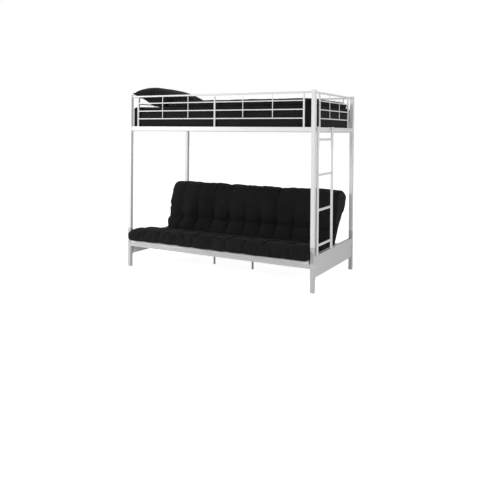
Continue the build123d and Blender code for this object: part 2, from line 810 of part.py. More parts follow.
with BuildPart() as back_mesh:
    mesh_back_plane = Plane(
        origin=on_back(0, (back_mesh_low + back_side_end) / 2, deck_tube_height / 2 - mesh_thickness),
        x_dir=(1, 0, 0), z_dir=back_out,
    )
    with BuildSketch(mesh_back_plane):
        wire_mesh(2 * back_inner_x, back_side_end - back_mesh_low)
    extrude(amount=mesh_thickness)
finish(back_mesh, "back_mesh")

# Hinge shafts: fixed in the back's side tubes, turning in the seat's bosses
with BuildPart() as hinge_shafts:
    for x_side in sides_x.values():
        shaft_start = at(x_side * back_inner_x, hinge_y, hinge_z)
        round_bar(shaft_start, (x_side, 0, 0), lever_inner_x - back_inner_x, shaft_radius)
finish(hinge_shafts, "hinge_shafts")

# Cam levers: a plate on each shaft's outer end, with the headed pin that rides in the slot
cam_start_y, cam_start_z = cam_pin_place(0)
with BuildPart() as cam_levers:
    for x_side in sides_x.values():
        lever_plane = Plane(
            origin=at(x_side * lever_inner_x, 0, 0), x_dir=(0, x_side, 0), z_dir=(x_side, 0, 0)
        )
        with BuildSketch(lever_plane):
            with Locations((x_side * hinge_y, hinge_z), (x_side * cam_start_y, cam_start_z)):
                Circle(lever_radius)
            make_hull()
        extrude(amount=lever_sheet)
        pin_start = at(x_side * lever_outer_x, cam_start_y, cam_start_z)
        round_bar(pin_start, (x_side, 0, 0), pin_head_x - lever_outer_x, cam_pin_radius)
        head_start = at(x_side * pin_head_x, cam_start_y, cam_start_z)
        round_bar(head_start, (x_side, 0, 0), glide_head_sheet, cam_head_radius)
finish(cam_levers, "cam_levers")

# Upper mattress
mattress_half_length = post_inner_x - mattress_end_gap
mattress_half_width = half_pitch_y - rail_depth / 2 - mattress_side_gap
mattress_bottom = slat_top + soft_gap
mattress_top = mattress_bottom + mattress_height
with BuildPart() as upper_mattress:
    with BuildSketch(Plane(at(0, 0, mattress_bottom))):
        RectangleRounded(2 * mattress_half_length, 2 * mattress_half_width, mattress_corner)
    extrude(amount=mattress_height)
    fillet(upper_mattress.faces().sort_by(Axis.Z)[-1].edges(), mattress_edge)
    fillet(upper_mattress.faces().sort_by(Axis.Z)[0].edges(), mattress_edge)
finish(upper_mattress, "upper_mattress")

# Pillow: crowned on both faces. It rests on the mattress and leans over the left guard, so it is
# put as far to the left as its bowed side clears the guard's top tube
lean_cos, lean_sin = cos(radians(pillow_lean)), sin(radians(pillow_lean))
pillow_half = pillow_width / 2
pillow_crown = pillow_height / 2
pillow_centre_z = (
    mattress_top + soft_gap + pillow_half * pillow_face_share * lean_sin + pillow_crown * lean_cos
)
side_steps = 60
pillow_centre_x = -half_pitch_x
for step in range(side_steps + 1):
    depth_share = step / side_steps
    side_half = pillow_half * (1 - (1 - pillow_face_share) * depth_share**2)
    side_x = -side_half * lean_cos - pillow_crown * depth_share * lean_sin
    side_z = pillow_centre_z + side_half * lean_sin - pillow_crown * depth_share * lean_cos
    tube_reach = guard_tube_radius + 2 * soft_gap
    height_off = abs(side_z - guard_tube_z)
    if height_off < tube_reach:
        clear_x = -half_pitch_x - side_x + (tube_reach**2 - height_off**2) ** (1 / 2)
        pillow_centre_x = max(pillow_centre_x, clear_x)
pillow_middle = at(pillow_centre_x, pillow_centre_y, pillow_centre_z)
pillow_plane = Plane(Location(pillow_middle, (0, pillow_lean, 0)))
with BuildPart() as pillow:
    for face in (-1, 0, 1):
        share = 1 - abs(face) * (1 - pillow_face_share)
        with BuildSketch(pillow_plane.offset(face * pillow_crown)):
            RectangleRounded(pillow_width * share, pillow_length * share, pillow_corner * share)
    loft()
finish(pillow, "pillow")

# Folded duvet, on the mattress from the pillow to the foot end
duvet_start_x = pillow_centre_x + pillow_half * lean_cos + duvet_pillow_gap
duvet_length = mattress_half_length - duvet_inset - duvet_start_x
duvet_middle_x = duvet_start_x + duvet_length / 2
with BuildPart() as duvet:
    with BuildSketch(Plane(at(duvet_middle_x, 0, mattress_top + soft_gap))):
        RectangleRounded(duvet_length, 2 * (mattress_half_width - duvet_inset), mattress_corner)
    extrude(amount=duvet_height)
    fillet(duvet.faces().sort_by(Axis.Z)[-1].edges(), duvet_edge)
finish(duvet, "duvet")

# Futon mattress: its two halves meet on the plane that halves the angle at the hinge
futon_half_length = seat_half_length + futon_side_overhang
mitre_slope = tan(radians((180 - back_angle) / 2))
futon_bottom = deck_top + soft_gap
groove_steps = [step - (tuft_column_count - 1) / 2 for step in range(tuft_column_count)]


def cushion_body(profile_plane, outline):
    """Loft the outline along the bed, with both ends drawn in."""
    straight_half = futon_half_length - futon_end_length
    places = (
        (-futon_half_length, futon_end_draw), (-straight_half, 0),
        (straight_half, 0), (futon_half_length, futon_end_draw),
    )
    sections = []
    for plane_shift, draw in places:
        with BuildSketch(profile_plane.offset(plane_shift)) as section:
            with BuildLine():
                outline(draw)
            make_face()
        sections.append(section.sketch)
    loft(sections, ruled=True)


def drawn(point, pivot, draw):
    """The point moved towards the pivot by the given length."""
    offset_x, offset_y = pivot[0] - point[0], pivot[1] - point[1]
    share = draw / (offset_x**2 + offset_y**2) ** (1 / 2)
    return point[0] + offset_x * share, point[1] + offset_y * share


seat_mitre_y = hinge_y - soft_gap
seat_bottom_y = seat_mitre_y - (futon_bottom - hinge_z) / mitre_slope
crotch_out = futon_bottom + futon_crotch_height - hinge_z
crotch_along = crotch_out / mitre_slope + soft_gap
futon_heel_y = futon_front_y + futon_heel_step
seat_pivot = ((futon_heel_y + seat_bottom_y) / 2, futon_bottom)


def seat_outline(draw):
    """The seat's section, from the front heel over the crown and the tuft row to the mitre."""
    crown_y = futon_front_y + futon_crown_step
    crown_z = futon_bottom + futon_crown_height
    rear_crown_y = hinge_y - futon_rear_crown_step
    heel = drawn((futon_heel_y, futon_bottom), seat_pivot, draw)
    nose = drawn((futon_front_y, futon_bottom + futon_nose_height), seat_pivot, draw)
    shoulder_z = futon_bottom + futon_shoulder_height
    shoulder = drawn((futon_front_y + futon_shoulder_step, shoulder_z), seat_pivot, draw)
    crown = drawn((crown_y, crown_z), seat_pivot, draw)
    tuft = drawn((hinge_y - futon_tuft_step, futon_bottom + futon_tuft_height), seat_pivot, draw)
    rear_crown = drawn((rear_crown_y, futon_bottom + futon_rear_crown_height), seat_pivot, draw)
    crotch = drawn((hinge_y - crotch_along, hinge_z + crotch_out), seat_pivot, draw)
    corner = drawn((seat_bottom_y, futon_bottom), seat_pivot, draw)
    ThreePointArc(heel, nose, shoulder)
    ThreePointArc(shoulder, crown, tuft)
    ThreePointArc(tuft, rear_crown, crotch)
    Polyline(crotch, corner, heel)


seat_plane = Plane(origin=at(0, 0, 0), x_dir=(0, 1, 0), z_dir=(1, 0, 0))
with BuildPart() as seat_cushion:
    cushion_body(seat_plane, seat_outline)
    groove_low_z = futon_bottom + seat_groove_height
    groove_high_z = futon_bottom + futon_crown_height + tuft_groove_width / 4
    for step in groove_steps:
        groove_plane = Plane(
            origin=at(step * tuft_column_pitch, futon_front_y, 0), x_dir=(1, 0, 0), z_dir=(0, -1, 0)
        )
        with BuildSketch(groove_plane):
            with BuildLine():
                Polyline(
                    (0, groove_low_z), (tuft_groove_width / 2, groove_high_z),
                    (-tuft_groove_width / 2, groove_high_z), close=True,
                )
            make_face()
        extrude(amount=futon_front_y - hinge_y, mode=Mode.SUBTRACT)
finish(seat_cushion, "seat_cushion")

back_face = deck_tube_height / 2 + soft_gap
back_mitre_low = back_face / mitre_slope + soft_gap
flap_inner_out = -deck_tube_height / 2 - back_flap_side_gap
flap_inner_along = back_length + back_flap_top_gap
back_pivot = (back_length / 2, back_face)


def back_outline(draw):
    """The back's section in its own plane: up its front, over the frame and down the flap behind."""
    tip_along = back_length - back_flap_tip_drop
    foot = drawn((back_mitre_low, back_face), back_pivot, draw)
    crotch = drawn((crotch_along, crotch_out), back_pivot, draw)
    foot_crown = drawn((back_foot_crown_along, back_foot_crown_out), back_pivot, draw)
    tuft = drawn((back_tuft_along, back_tuft_out), back_pivot, draw)
    crown = drawn((back_length - back_crown_below_top, back_crown_out), back_pivot, draw)
    shoulder = drawn((back_length + back_shoulder_rise, back_shoulder_out), back_pivot, draw)
    top = drawn((back_length + back_top_rise, back_top_out), back_pivot, draw)
    end = drawn((back_length + back_end_rise, back_end_out), back_pivot, draw)
    flap = drawn((back_length - back_flap_drop, back_flap_out), back_pivot, draw)
    flap_tip = drawn((tip_along, back_flap_tip_out), back_pivot, draw)
    Polyline(foot, crotch)
    ThreePointArc(crotch, foot_crown, tuft)
    ThreePointArc(tuft, crown, shoulder)
    ThreePointArc(shoulder, top, end)
    Polyline(
        end, flap, flap_tip, (tip_along, flap_inner_out), (flap_inner_along, flap_inner_out),
        (flap_inner_along, back_face), foot,
    )


back_plane = Plane(origin=hinge_point, x_dir=back_up, z_dir=(1, 0, 0))
with BuildPart() as back_cushion:
    cushion_body(back_plane, back_outline)
    groove_high_out = back_crown_out + tuft_groove_width / 4
    for step in groove_steps:
        groove_plane = Plane(
            origin=on_back(step * tuft_column_pitch, back_tuft_along, 0), x_dir=(1, 0, 0),
            z_dir=-back_up,
        )
        with BuildSketch(groove_plane):
            with BuildLine():
                Polyline(
                    (0, back_groove_out), (tuft_groove_width / 2, groove_high_out),
                    (-tuft_groove_width / 2, groove_high_out), close=True,
                )
            make_face()
        groove_length = back_length + back_top_rise - back_tuft_along
        extrude(amount=-groove_length, mode=Mode.SUBTRACT)
finish(back_cushion, "back_cushion")

print("cam slot centres, mm:", [(round(y, 1), round(z, 1)) for y, z in cam_route])
print("frame centre, mm:", round(centre_x, 3), round(centre_y, 3))
print("pillow centre and duvet start, mm:", round(pillow_centre_x, 1), round(pillow_centre_z, 1),
      round(duvet_start_x, 1))
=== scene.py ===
"""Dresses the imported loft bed: materials, bedding, futon mattress, light and camera. Metres."""

import json
from math import cos, pi, radians, sin, sqrt

import bmesh
import bpy
import numpy as np
from mathutils import Matrix, Vector, noise


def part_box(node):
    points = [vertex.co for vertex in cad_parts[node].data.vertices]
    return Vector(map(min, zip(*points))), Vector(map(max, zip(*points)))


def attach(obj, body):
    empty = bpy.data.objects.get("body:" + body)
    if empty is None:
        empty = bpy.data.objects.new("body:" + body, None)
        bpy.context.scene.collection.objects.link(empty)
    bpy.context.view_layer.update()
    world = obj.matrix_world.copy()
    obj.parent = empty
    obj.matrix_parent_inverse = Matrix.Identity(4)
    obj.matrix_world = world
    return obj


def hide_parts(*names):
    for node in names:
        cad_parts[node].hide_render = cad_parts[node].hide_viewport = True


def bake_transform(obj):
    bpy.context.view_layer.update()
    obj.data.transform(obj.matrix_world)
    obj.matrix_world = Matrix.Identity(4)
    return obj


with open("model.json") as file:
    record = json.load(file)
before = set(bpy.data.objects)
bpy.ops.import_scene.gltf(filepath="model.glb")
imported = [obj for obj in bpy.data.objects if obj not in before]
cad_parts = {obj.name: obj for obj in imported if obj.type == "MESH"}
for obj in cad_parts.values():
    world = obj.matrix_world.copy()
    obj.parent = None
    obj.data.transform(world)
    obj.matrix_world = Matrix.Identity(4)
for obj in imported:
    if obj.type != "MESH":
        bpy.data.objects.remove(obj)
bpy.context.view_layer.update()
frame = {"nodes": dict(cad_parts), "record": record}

# Places in the CAD model, measured from the middle of the four posts
CENTRE = Vector((-0.0065, 0.03125, 0.0))
POST_X, POST_Y, POST_HALF = 0.971, 0.475, 0.0175
HINGE_Y, HINGE_Z = 0.115, 0.2505
BACK_ANGLE = radians(66)
DECK_TOP = 0.2645

scene = bpy.context.scene


# Shared mesh helpers

def at(x, y, z):
    """A point given from the middle of the four posts."""
    return CENTRE + Vector((x, y, z))


def shade_smooth(mesh):
    """Shades all faces of the mesh smooth."""
    mesh.polygons.foreach_set("use_smooth", [True] * len(mesh.polygons))


def add_object(name, data):
    """A new object in the scene."""
    obj = bpy.data.objects.new(name, data)
    scene.collection.objects.link(obj)
    return obj


def add_mesh(name, vertices, faces):
    """A new smooth object from plain vertex and face lists."""
    mesh = bpy.data.meshes.new(name)
    mesh.from_pydata([tuple(v) for v in vertices], [], faces)
    mesh.update()
    shade_smooth(mesh)
    return add_object(name, mesh)


def add_bmesh(name, bm, smooth=True):
    """A new object from a bmesh, which is freed."""
    mesh = bpy.data.meshes.new(name)
    bm.to_mesh(mesh)
    bm.free()
    if smooth:
        shade_smooth(mesh)
    return add_object(name, mesh)


def evaluated_mesh(obj):
    """A new mesh of the object as its modifiers or its bevel leave it."""
    depsgraph = bpy.context.evaluated_depsgraph_get()
    return bpy.data.meshes.new_from_object(obj.evaluated_get(depsgraph))


def apply_modifiers(obj):
    """Bakes the object's modifiers into its mesh."""
    mesh = evaluated_mesh(obj)
    obj.modifiers.clear()
    old = obj.data
    obj.data = mesh
    bpy.data.meshes.remove(old)
    shade_smooth(mesh)


def coordinates(obj):
    """The object's vertices as an array."""
    co = np.zeros(len(obj.data.vertices) * 3)
    obj.data.vertices.foreach_get("co", co)
    return co.reshape(-1, 3)


def set_coordinates(obj, co):
    """Writes an array of vertices back."""
    obj.data.vertices.foreach_set("co", np.asarray(co, dtype=float).ravel())
    obj.data.update()


def remesh(obj, voxel):
    """Rebuilds the object's mesh from even quads."""
    modifier = obj.modifiers.new("remesh", "REMESH")
    modifier.mode = "VOXEL"
    modifier.voxel_size = voxel
    modifier.use_smooth_shade = True
    apply_modifiers(obj)


def subdivide(obj):
    """Smooths the object's mesh by one level of subdivision."""
    modifier = obj.modifiers.new("subdivision", "SUBSURF")
    modifier.levels = 1
    modifier.render_levels = 1
    apply_modifiers(obj)


CLOTH_MASS, CLOTH_STIFFNESS, CLOTH_BENDING, CLOTH_QUALITY = 0.25, 12.0, 0.4, 5


def inflate(obj, held, pressure, slack, reach, frames=20):
    """Blows the closed mesh up as cloth, the held vertices still, and no point past the reach."""
    before = coordinates(obj)
    group = obj.vertex_groups.new(name="held")
    group.add(np.nonzero(held)[0].tolist(), 1.0, "REPLACE")
    modifier = obj.modifiers.new("cloth", "CLOTH")
    settings = modifier.settings
    settings.quality = CLOTH_QUALITY
    settings.mass = CLOTH_MASS
    settings.tension_stiffness = CLOTH_STIFFNESS
    settings.compression_stiffness = CLOTH_STIFFNESS
    settings.shear_stiffness = CLOTH_STIFFNESS / 2
    settings.bending_stiffness = CLOTH_BENDING
    settings.use_pressure = True
    settings.uniform_pressure_force = pressure
    settings.shrink_min = -slack
    settings.effector_weights.gravity = 0.0
    settings.vertex_group_mass = "held"
    modifier.collision_settings.use_self_collision = False
    modifier.collision_settings.use_collision = False
    scene.frame_start = 1
    scene.frame_end = frames
    modifier.point_cache.frame_start = 1
    modifier.point_cache.frame_end = frames
    for step in range(1, frames + 1):
        scene.frame_set(step)
    apply_modifiers(obj)
    scene.frame_set(1)
    moved = coordinates(obj) - before
    length = np.linalg.norm(moved, axis=1, keepdims=True)
    share = np.minimum(1.0, reach / np.maximum(length, 1e-9))
    set_coordinates(obj, before + moved * share)
    obj.vertex_groups.clear()


# Shared node helpers, which return the socket that carries the result

# A colour mix node's sockets, since several of them share a name
MIX_UNDER, MIX_OVER, MIX_RESULT = 6, 7, 2


def blank_material(name):
    """A new material with its shader, ready for nodes."""
    material = bpy.data.materials.new(name)
    material.use_nodes = True
    nodes, links = material.node_tree.nodes, material.node_tree.links
    return material, nodes, links, nodes["Principled BSDF"]


def set_inputs(node, values):
    """Sets some of the node's inputs by name."""
    for name, value in values.items():
        node.inputs[name].default_value = value
    return node


def noise_node(nodes, links, scale, detail=3.0, stretch=None):
    """A noise texture in the object's own coordinates."""
    place = nodes.new("ShaderNodeTexCoord").outputs["Object"]
    texture = set_inputs(nodes.new("ShaderNodeTexNoise"), {"Scale": scale, "Detail": detail})
    if stretch:
        mapping = set_inputs(nodes.new("ShaderNodeMapping"), {"Scale": stretch})
        links.new(place, mapping.inputs["Vector"])
        place = mapping.outputs["Vector"]
    links.new(place, texture.inputs["Vector"])
    return texture.outputs["Fac"]


def ramp_node(nodes, links, source, low, high, low_value, high_value):
    """Maps the part of a 0 to 1 source between low and high to a colour range."""
    ramp = nodes.new("ShaderNodeValToRGB")
    ends = ramp.color_ramp.elements
    ends[0].position, ends[1].position = low, high
    ends[0].color, ends[1].color = low_value, high_value
    links.new(source, ramp.inputs["Fac"])
    return ramp.outputs["Color"]


def bump_node(nodes, links, height, strength, distance, under=None):
    """A bump from a height source, laid over another bump if one is given."""
    bump = set_inputs(nodes.new("ShaderNodeBump"), {"Strength": strength, "Distance": distance})
    links.new(height, bump.inputs["Height"])
    if under is not None:
        links.new(under, bump.inputs["Normal"])
    return bump.outputs["Normal"]


def math_node(nodes, links, operation, first, second):
    """Combines two values."""
    node = nodes.new("ShaderNodeMath")
    node.operation = operation
    links.new(first, node.inputs[0])
    links.new(second, node.inputs[1])
    return node.outputs["Value"]


def mix_node(nodes, links, factor, under, over):
    """Lays a plain colour over a coloured source."""
    mix = nodes.new("ShaderNodeMix")
    mix.data_type = "RGBA"
    links.new(factor, mix.inputs["Factor"])
    links.new(under, mix.inputs[MIX_UNDER])
    mix.inputs[MIX_OVER].default_value = over
    return mix.outputs[MIX_RESULT]


def wire_shader(links, shader, colour, roughness, normal):
    """Feeds the shader its colour, roughness and bump."""
    links.new(colour, shader.inputs["Base Color"])
    links.new(roughness, shader.inputs["Roughness"])
    links.new(normal, shader.inputs["Normal"])


def grey(value, tint=(1.0, 1.0, 1.0)):
    """A grey level as a colour, tinted if a tint is given."""
    return (value * tint[0], value * tint[1], value * tint[2], 1.0)


# Materials

def coated_steel(name, level, tint):
    """Powder-coated steel: faint orange peel, slightly uneven gloss, edges brightened by a painted
    highlight.
    """
    material, nodes, links, shader = blank_material(name)
    clouds = noise_node(nodes, links, scale=3.0)
    tone = ramp_node(nodes, links, clouds, 0.3, 0.7, grey(level * 0.97, tint), grey(level, tint))
    # Painted highlight: the convex edges are lightened as if light caught them.
    edges = nodes.new("ShaderNodeNewGeometry").outputs["Pointiness"]
    edge_highlight = ramp_node(nodes, links, edges, 0.5, 0.62, grey(0.0), grey(0.35))
    colour = mix_node(nodes, links, edge_highlight, tone, grey(min(1.0, level * 1.06), tint))
    gloss = noise_node(nodes, links, scale=40.0)
    rough = ramp_node(nodes, links, gloss, 0.2, 0.8, grey(0.34), grey(0.46))
    peel = noise_node(nodes, links, scale=700.0, detail=2.0)
    normal = bump_node(nodes, links, peel, strength=0.12, distance=0.0004)
    wire_shader(links, shader, colour, rough, normal)
    set_inputs(shader, {"Specular IOR Level": 0.45, "Coat Weight": 0.12, "Coat Roughness": 0.3})
    return material


def plated_steel():
    """Zinc-plated steel with a fine brushed grain."""
    material, nodes, links, shader = blank_material("zinc_plate")
    grain = noise_node(nodes, links, scale=120.0, detail=4.0, stretch=(1.0, 12.0, 12.0))
    tone = ramp_node(nodes, links, grain, 0.25, 0.75, grey(0.46), grey(0.64, (1.0, 1.0, 0.98)))
    rough = ramp_node(nodes, links, grain, 0.2, 0.8, grey(0.24), grey(0.42))
    normal = bump_node(nodes, links, grain, strength=0.1, distance=0.0003)
    wire_shader(links, shader, tone, rough, normal)
    set_inputs(shader, {"Metallic": 1.0})
    return material


def moulded_plastic(name, level, tint):
    """Moulded plastic with a fine spark-eroded grain."""
    material, nodes, links, shader = blank_material(name)
    grain = noise_node(nodes, links, scale=900.0, detail=2.0)
    clouds = noise_node(nodes, links, scale=12.0)
    tone = ramp_node(nodes, links, clouds, 0.3, 0.7, grey(level * 0.95, tint), grey(level, tint))
    rough = ramp_node(nodes, links, grain, 0.3, 0.7, grey(0.46), grey(0.6))
    normal = bump_node(nodes, links, grain, strength=0.2, distance=0.0003)
    wire_shader(links, shader, tone, rough, normal)
    return material


# A band texture's scale, times the distance between its bands
BAND_SCALE = 0.314


def woven_fabric(name, dark, light, tint, thread, sheen, crease):
    """Dark cloth: crossed threads, slubs, crowns lighter from wear and a painted highlight, with a
    soft sheen.
    """
    material, nodes, links, shader = blank_material(name)
    place = nodes.new("ShaderNodeTexCoord").outputs["Object"]
    bands = []
    for direction in ("X", "Y", "Z"):
        wave = nodes.new("ShaderNodeTexWave")
        wave.wave_type = "BANDS"
        wave.bands_direction = direction
        set_inputs(wave, {"Scale": BAND_SCALE / thread, "Distortion": 0.6, "Detail": 1.0})
        links.new(place, wave.inputs["Vector"])
        bands.append(wave.outputs["Fac"])
    crossed = math_node(nodes, links, "ADD", bands[0], bands[1])
    threads = math_node(nodes, links, "ADD", crossed, bands[2])
    slubs = noise_node(nodes, links, scale=260.0)
    clouds = noise_node(nodes, links, scale=5.0, detail=4.0)
    folds = noise_node(nodes, links, scale=26.0)

    middle = grey((dark + light) / 2, tint)
    tone = ramp_node(nodes, links, clouds, 0.3, 0.72, grey(dark, tint), middle)
    # Painted highlight and wear: the crowns of the puffs are lightened, speckled by the slubs.
    edges = nodes.new("ShaderNodeNewGeometry").outputs["Pointiness"]
    crown_highlight = ramp_node(nodes, links, edges, 0.47, 0.56, grey(0.0), grey(1.0))
    speckle = ramp_node(nodes, links, slubs, 0.35, 0.75, grey(0.15), grey(0.85))
    wear_and_highlight = math_node(nodes, links, "MULTIPLY", crown_highlight, speckle)
    colour = mix_node(nodes, links, wear_and_highlight, tone, grey(light, tint))
    rough = ramp_node(nodes, links, slubs, 0.3, 0.7, grey(0.82), grey(0.95))
    soft = bump_node(nodes, links, folds, strength=crease, distance=0.006)
    slub_bump = bump_node(nodes, links, slubs, strength=0.25, distance=0.0008, under=soft)
    weave = bump_node(nodes, links, threads, strength=0.35, distance=0.0004, under=slub_bump)
    wire_shader(links, shader, colour, rough, weave)
    set_inputs(shader, {
        "Specular IOR Level": 0.12, "Sheen Weight": sheen,
        "Sheen Roughness": 0.45, "Sheen Tint": (0.75, 0.76, 0.8, 1.0),
    })
    return material


COAT_TINT = (1.0, 1.0, 0.99)
white_steel = coated_steel("white_powder_coat", 0.76, COAT_TINT)
# Painted shade: the legs and end panels get the white coat made darker, standing in for the shade
# they fall in.
shaded_white_steel = coated_steel("white_powder_coat_painted_shade", 0.52, COAT_TINT)
weld_steel = coated_steel("coated_weld", 0.78, COAT_TINT)
zinc = plated_steel()
white_plastic = moulded_plastic("white_plastic", 0.78, (1.0, 1.0, 0.98))
nylon = moulded_plastic("nylon", 0.72, (1.0, 0.98, 0.92))
futon_cloth = woven_fabric(
    "futon_cloth", dark=0.004, light=0.0125, tint=(1.0, 1.0, 1.02),
    thread=0.0011, sheen=0.012, crease=0.35,
)
mattress_cloth = woven_fabric(
    "mattress_cloth", dark=0.006, light=0.013, tint=(1.0, 1.0, 1.04),
    thread=0.0009, sheen=0.04, crease=0.15,
)
duvet_cloth = woven_fabric(
    "duvet_cloth", dark=0.005, light=0.012, tint=(1.0, 1.0, 1.04),
    thread=0.0007, sheen=0.04, crease=0.3,
)
pillow_cloth = woven_fabric(
    "pillow_cloth", dark=0.0045, light=0.011, tint=(1.0, 1.0, 1.06),
    thread=0.0007, sheen=0.03, crease=0.3,
)

slot_material = {
    "white_coated_steel": white_steel,
    "pale_grey_coated_steel": shaded_white_steel,
    "zinc_plated_steel": zinc,
    "white_plastic": white_plastic,
    "nylon": nylon,
    "black_mattress_fabric": mattress_cloth,
    "black_duvet_fabric": duvet_cloth,
    "black_pillow_fabric": pillow_cloth,
    "black_futon_fabric": futon_cloth,
}
for subpart in frame["record"]["subparts"]:
    node = frame["nodes"][subpart["node"]]
    node.data.materials.clear()
    node.data.materials.append(slot_material[subpart["material_slot"]])


# Futon mattress: its section in the YZ plane, swept along the bed

def back_point(along, out):
    """Y and Z of a point of the back, along it from the hinge and out from its middle plane."""
    y = HINGE_Y + along * cos(BACK_ANGLE) - out * sin(BACK_ANGLE)
    z = HINGE_Z + along * sin(BACK_ANGLE) + out * cos(BACK_ANGLE)
    return (y, z)


def back_place(y, z):
    """How far along the back, and out from its middle plane, one point or each of many lies."""
    along = (y - HINGE_Y) * cos(BACK_ANGLE) + (z - HINGE_Z) * sin(BACK_ANGLE)
    out = -(y - HINGE_Y) * sin(BACK_ANGLE) + (z - HINGE_Z) * cos(BACK_ANGLE)
    return along, out


FUTON_HALF_LENGTH = 0.945
FUTON_NOSE = ((-0.524, 0.262), (-0.543, 0.272), (-0.556, 0.303), (-0.547, 0.336))
FUTON_SEAT_TOP = (
    (-0.512, 0.356), (-0.43, 0.361), (-0.33, 0.35), (-0.235, 0.335), (-0.136, 0.318),
    (-0.05, 0.305), (0.012, 0.297),
)
# The faces seen from above and in front, from under the nose up to the flap behind the back
FUTON_OUTER = FUTON_NOSE + FUTON_SEAT_TOP + (
    (0.045, 0.299), back_point(0.058, 0.075), back_point(0.09, 0.083),
    back_point(0.13, 0.089), back_point(0.172, 0.083), back_point(0.25, 0.101),
    back_point(0.345, 0.12), back_point(0.43, 0.125), back_point(0.5, 0.113),
    back_point(0.545, 0.078), back_point(0.564, 0.02), back_point(0.564, -0.04),
    back_point(0.549, -0.087), back_point(0.518, -0.104), back_point(0.475, -0.097),
    back_point(0.43, -0.08), back_point(0.39, -0.056), back_point(0.366, -0.03),
)
# The faces that lie on the back's and the seat's frames
FUTON_INNER = (
    back_point(0.365, -0.0195), back_point(0.41, -0.0185), back_point(0.462, -0.0185),
    back_point(0.4675, -0.004), back_point(0.462, 0.0155),
    back_point(0.3, 0.0155), back_point(0.1, 0.0155), back_point(0.03, 0.0158),
    (0.085, 0.2658), (0.0, 0.2655), (-0.25, 0.2655), (-0.5, 0.2655),
)
# Past this X the ends hang beside the back's frame, where their rear face lies this far out
OVERHANG_X = 0.924
OVERHANG_ALONG = (0.05, 0.47)
OVERHANG_OUT_MIN = -0.03
END_REAR = (
    (0.05, 0.0155), (0.09, -0.002), (0.214, -0.02), (0.312, -0.052), (0.404, -0.078), (0.45, -0.09),
)

# Tufts: their columns along the bed, and their rows on the seat by Y and on the back along it
TUFT_X = (-0.771, -0.58, -0.386, -0.196, -0.008, 0.163, 0.34, 0.525, 0.712)
TUFT_PITCH = 0.186
SEAT_ROWS = (-0.335, -0.136)
BACK_ROWS = (0.172,)
BACK_ROW_OUT = 0.083
FOLD = (0.036, 0.297)

FUTON_STEP = 0.012
# The ends are rounded over this length, and this share of the creases fades out there
FUTON_END, FUTON_END_FADE = 0.02, 0.6
# Below 1, so that the creases are sharp and the panels between them full
CREASE_POWER = 0.5
# How far the creases stray sideways, and how deep they are: the usual share and its spread
CREASE_WANDER, CREASE_USUAL, CREASE_SPREAD = 0.007, 0.85, 0.4
# How much of a row's crease there is between two tufts
ROW_BETWEEN = 0.75
TUFT_PULL_SEAT, TUFT_PULL_BACK, TUFT_SPREAD = 0.006, 0.014, 0.022
# The last row's crease fades out over half this length
LAST_ROW_FADE = 0.24
# The pulled face stops this far in, short of the lower one
DEEPEST_PULL = 0.055
# The filling's unevenness: how high its lumps are, and how many there are to a metre
BROAD_LUMP, BROAD_SCALE = 0.004, 6.0
FINE_LUMP, FINE_SCALE = 0.0018, 21.0


def path_run(path):
    """How far along the path each of its points lies."""
    steps = np.linalg.norm(np.diff(path, axis=0), axis=1)
    return np.concatenate([[0.0], np.cumsum(steps)])


def nearest_run(path, point):
    """How far along the path its nearest point to the given one lies."""
    distance = np.linalg.norm(path - np.array(point), axis=1)
    return float(path_run(path)[int(np.argmin(distance))])


def smooth_path(points, step, samples=24):
    """Evenly spaced points along a curve through the given ones."""
    points = [Vector(p) for p in points]
    dense = []
    for i in range(len(points) - 1):
        p0 = points[max(i - 1, 0)]
        p1, p2 = points[i], points[i + 1]
        p3 = points[min(i + 2, len(points) - 1)]
        for k in range(samples):
            t = k / samples
            dense.append(
                0.5 * ((2 * p1) + (p2 - p0) * t + (2 * p0 - 5 * p1 + 4 * p2 - p3) * t * t
                       + (3 * p1 - p0 - 3 * p2 + p3) * t ** 3)
            )
    dense.append(points[-1])
    dense = np.array([tuple(p) for p in dense])
    run = path_run(dense)
    count = max(2, int(round(run[-1] / step)))
    wanted = np.linspace(0.0, run[-1], count + 1)
    return np.stack([np.interp(wanted, run, dense[:, k]) for k in range(dense.shape[1])], axis=1)


